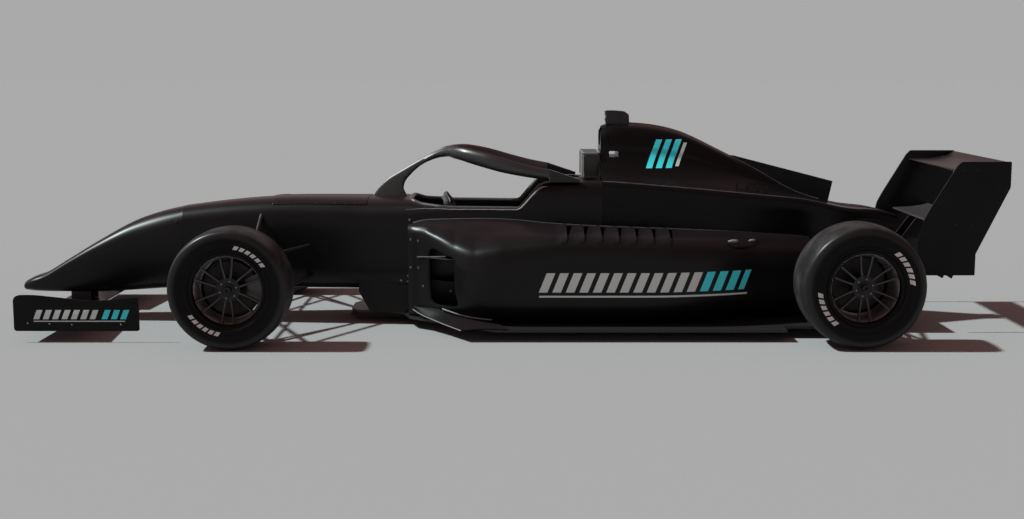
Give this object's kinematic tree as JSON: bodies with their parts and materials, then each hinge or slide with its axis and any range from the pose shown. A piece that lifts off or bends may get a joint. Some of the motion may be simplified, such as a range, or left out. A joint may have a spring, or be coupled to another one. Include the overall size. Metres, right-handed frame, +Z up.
{
  "type": "open wheel racing car",
  "caption": "Low single-seat open wheel racing car with a halo, nose and rear wings, sidepods, a fin and slick tyres; its wheels roll and steer.",
  "frame": {"origin": "on the ground, under the middle of the car's outline", "axes": "+Z up, +X towards the tail and -X towards the nose, -Y to the car's left side"},
  "size_m": [4.918, 1.8512, 1.065],
  "materials": {
    "carbon_body": "near-black satin carbon bodywork",
    "carbon_raw": "matte carbon composite",
    "wing_black": "black lacquered carbon",
    "tyre": "slick racing rubber",
    "rim": "dark anodised magnesium",
    "upright": "machined",
    "suspension": "black painted steel tube",
    "steel": "plain",
    "titanium": "bead-blasted grey",
    "foam": "grey covered foam",
    "seat": "carbon shell",
    "wood": "worn plank",
    "alloy": "cast",
    "core": "finned core",
    "lamp": "red lens",
    "grip": "grip and satin panel"
  },
  "bodies": {
    "chassis": {"nose_cone": "carbon_body", "monocoque": "carbon_body", "front_wing_main": "wing_black", "front_wing_flaps": "wing_black", "front_wing_endplates": "wing_black", "front_wing_pylons": "wing_black", "front_wishbones": "suspension", "front_pushrods": "suspension", "steering_column_support": "carbon_raw", "seat": "seat", "headrest": "foam", "halo": "carbon_body", "halo_feet": "titanium", "engine_cover": "carbon_body", "roll_hoop": "titanium", "shark_fin": "carbon_body", "camera_pod": "carbon_raw", "sidepod_right": "carbon_body", "sidepod_left": "carbon_body", "radiators": "core", "floor": "carbon_raw", "skid_plank": "wood", "diffuser": "carbon_raw", "engine_block": "alloy", "gearbox": "alloy", "crash_structure": "carbon_raw", "rain_light": "lamp", "rear_uprights": "upright", "rear_wishbones": "suspension", "rear_toe_links": "suspension", "rear_pushrods": "suspension", "rear_wing_main": "wing_black", "rear_wing_flap": "wing_black", "beam_wing": "wing_black", "rear_wing_endplates": "wing_black", "rear_wing_pylons": "wing_black"},
    "steering_wheel": {"steering_wheel": "grip"},
    "track_rods": {"track_rods": "steel"},
    "front_knuckle_left": {"front_knuckle_left": "upright"},
    "front_knuckle_right": {"front_knuckle_right": "upright"},
    "front_wheel_left": {"front_tyre_left": "tyre", "front_rim_left": "rim"},
    "front_wheel_right": {"front_tyre_right": "tyre", "front_rim_right": "rim"},
    "rear_wheel_left": {"rear_tyre_left": "tyre", "rear_rim_left": "rim", "driveshaft_left": "steel"},
    "rear_wheel_right": {"rear_tyre_right": "tyre", "rear_rim_right": "rim", "driveshaft_right": "steel"}
  },
  "joints": [
    {"name": "steer_left", "type": "hinge", "parent": "chassis", "child": "front_knuckle_left", "pos_m": [-1.236, -0.735, 0.28], "axis": [0, 0, 1], "range_deg": [-18, 18]},
    {"name": "steer_right", "type": "hinge", "parent": "chassis", "child": "front_knuckle_right", "pos_m": [-1.236, 0.735, 0.28], "axis": [0, 0, 1], "range_deg": [-18, 18]},
    {"name": "rack_slide", "type": "slide", "parent": "chassis", "child": "track_rods", "axis": [0, 1, 0], "range_m": [-0.02827, 0.02827]},
    {"name": "steering_wheel_turn", "type": "hinge", "parent": "chassis", "child": "steering_wheel", "pos_m": [-0.297, 0, 0.545], "axis": [0.9063, 0, 0.4226], "range_deg": [-180, 180]},
    {"name": "front_wheel_left_spin", "type": "hinge", "parent": "front_knuckle_left", "child": "front_wheel_left", "pos_m": [-1.236, -0.8, 0.28], "axis": [0, 1, 0], "continuous": true},
    {"name": "rear_wheel_left_spin", "type": "hinge", "parent": "chassis", "child": "rear_wheel_left", "pos_m": [1.664, -0.775, 0.29], "axis": [0, 1, 0], "continuous": true},
    {"name": "front_wheel_right_spin", "type": "hinge", "parent": "front_knuckle_right", "child": "front_wheel_right", "pos_m": [-1.236, 0.8, 0.28], "axis": [0, 1, 0], "continuous": true},
    {"name": "rear_wheel_right_spin", "type": "hinge", "parent": "chassis", "child": "rear_wheel_right", "pos_m": [1.664, 0.775, 0.29], "axis": [0, 1, 0], "continuous": true}
  ],
  "couplings": [
    {"joint": "steer_right", "follows": "steer_left", "ratio": 1},
    {"joint": "rack_slide", "follows": "steer_left", "m_per_rad": -0.09},
    {"joint": "steering_wheel_turn", "follows": "steer_left", "ratio": 10}
  ]
}
